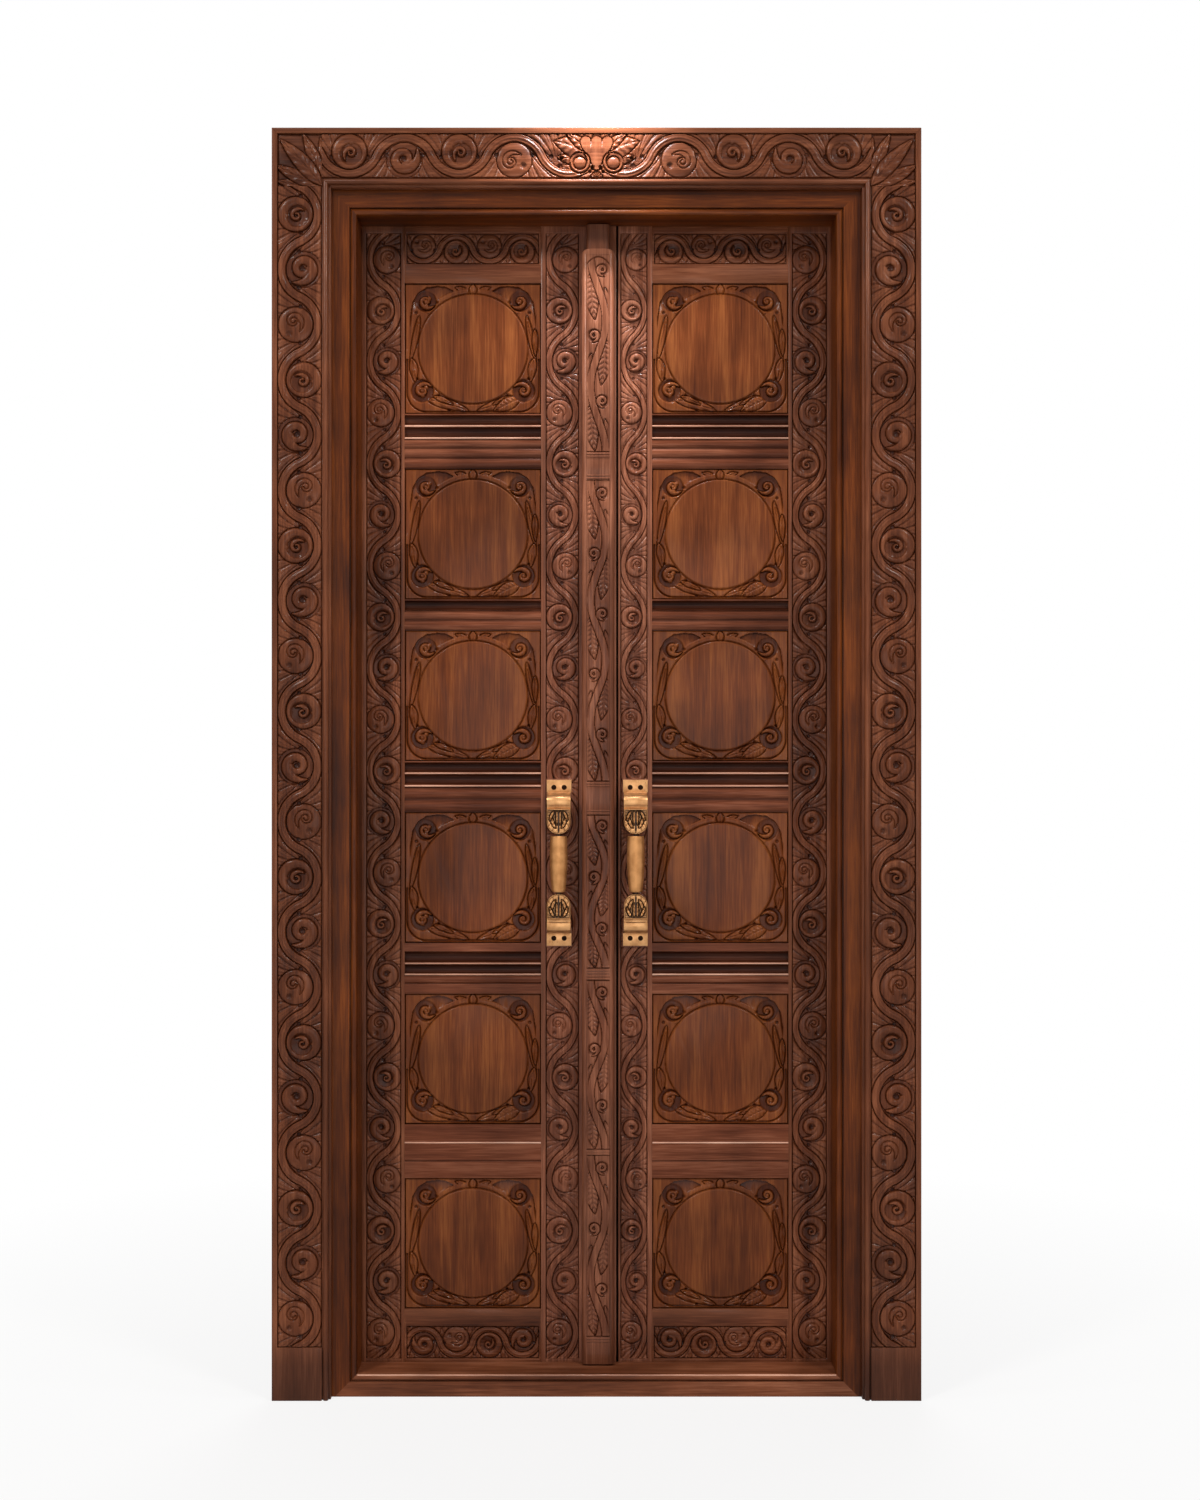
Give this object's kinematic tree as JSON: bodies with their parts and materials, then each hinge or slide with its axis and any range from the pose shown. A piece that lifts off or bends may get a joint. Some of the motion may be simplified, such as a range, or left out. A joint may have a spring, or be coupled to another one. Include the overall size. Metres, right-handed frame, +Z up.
{
  "type": "carved double door with frame",
  "caption": "Carved wooden double door in its frame: medallion panels between moulded rails, scroll-carved stiles, casing and centre bar, brass pull handles, leaves swinging on butt hinges.",
  "frame": {"origin": "on the floor under the middle of the opening, in the plane of the wall that the casing lies against", "axes": "+Z up, +X to the right seen from the front, +Y to the back, the way the leaves open"},
  "size_m": [1.222, 0.1575, 2.395],
  "materials": {
    "frame_wood": "satin lacquer over teak-brown stain",
    "casing_wood": "satin lacquer, carved",
    "leaf_wood": "satin lacquer, carved",
    "panel_wood": "satin lacquer, upright grain",
    "handle_brass": "antique gold, dark in the recesses",
    "old_brass": "dull, aged"
  },
  "bodies": {
    "frame": {"left_jamb": "frame_wood", "right_jamb": "frame_wood", "head_jamb": "frame_wood", "sill": "frame_wood", "left_casing": "casing_wood", "right_casing": "casing_wood", "head_casing": "casing_wood", "left_hinge_jamb_flaps": "old_brass", "right_hinge_jamb_flaps": "old_brass", "left_hinge_pins": "old_brass", "right_hinge_pins": "old_brass", "left_jamb_hinge_screws": "old_brass", "right_jamb_hinge_screws": "old_brass"},
    "left_leaf": {"left_hinge_stile": "leaf_wood", "left_meeting_stile": "leaf_wood", "left_top_rail": "leaf_wood", "left_bottom_rail": "leaf_wood", "left_rail_1": "leaf_wood", "left_rail_2": "leaf_wood", "left_rail_3": "leaf_wood", "left_rail_4": "leaf_wood", "left_rail_5": "leaf_wood", "left_panel_1": "panel_wood", "left_panel_2": "panel_wood", "left_panel_3": "panel_wood", "left_panel_4": "panel_wood", "left_panel_5": "panel_wood", "left_panel_6": "panel_wood", "centre_bar": "leaf_wood", "left_handle_upper_bracket": "handle_brass", "left_handle_lower_bracket": "handle_brass", "left_handle_grip": "handle_brass", "left_handle_screws": "old_brass", "left_hinge_leaf_flaps": "old_brass", "left_leaf_hinge_screws": "old_brass"},
    "right_leaf": {"right_hinge_stile": "leaf_wood", "right_meeting_stile": "leaf_wood", "right_top_rail": "leaf_wood", "right_bottom_rail": "leaf_wood", "right_rail_1": "leaf_wood", "right_rail_2": "leaf_wood", "right_rail_3": "leaf_wood", "right_rail_4": "leaf_wood", "right_rail_5": "leaf_wood", "right_panel_1": "panel_wood", "right_panel_2": "panel_wood", "right_panel_3": "panel_wood", "right_panel_4": "panel_wood", "right_panel_5": "panel_wood", "right_panel_6": "panel_wood", "right_handle_upper_bracket": "handle_brass", "right_handle_lower_bracket": "handle_brass", "right_handle_grip": "handle_brass", "right_handle_screws": "old_brass", "right_hinge_leaf_flaps": "old_brass", "right_leaf_hinge_screws": "old_brass"}
  },
  "joints": [
    {"name": "left_leaf_swing", "type": "hinge", "parent": "frame", "child": "left_leaf", "pos_m": [-0.4655, 0.1165, 1.14], "axis": [0, 0, 1], "range_deg": [0, 110]},
    {"name": "right_leaf_swing", "type": "hinge", "parent": "frame", "child": "right_leaf", "pos_m": [0.4655, 0.1165, 1.14], "axis": [0, 0, -1], "range_deg": [0, 110]}
  ]
}
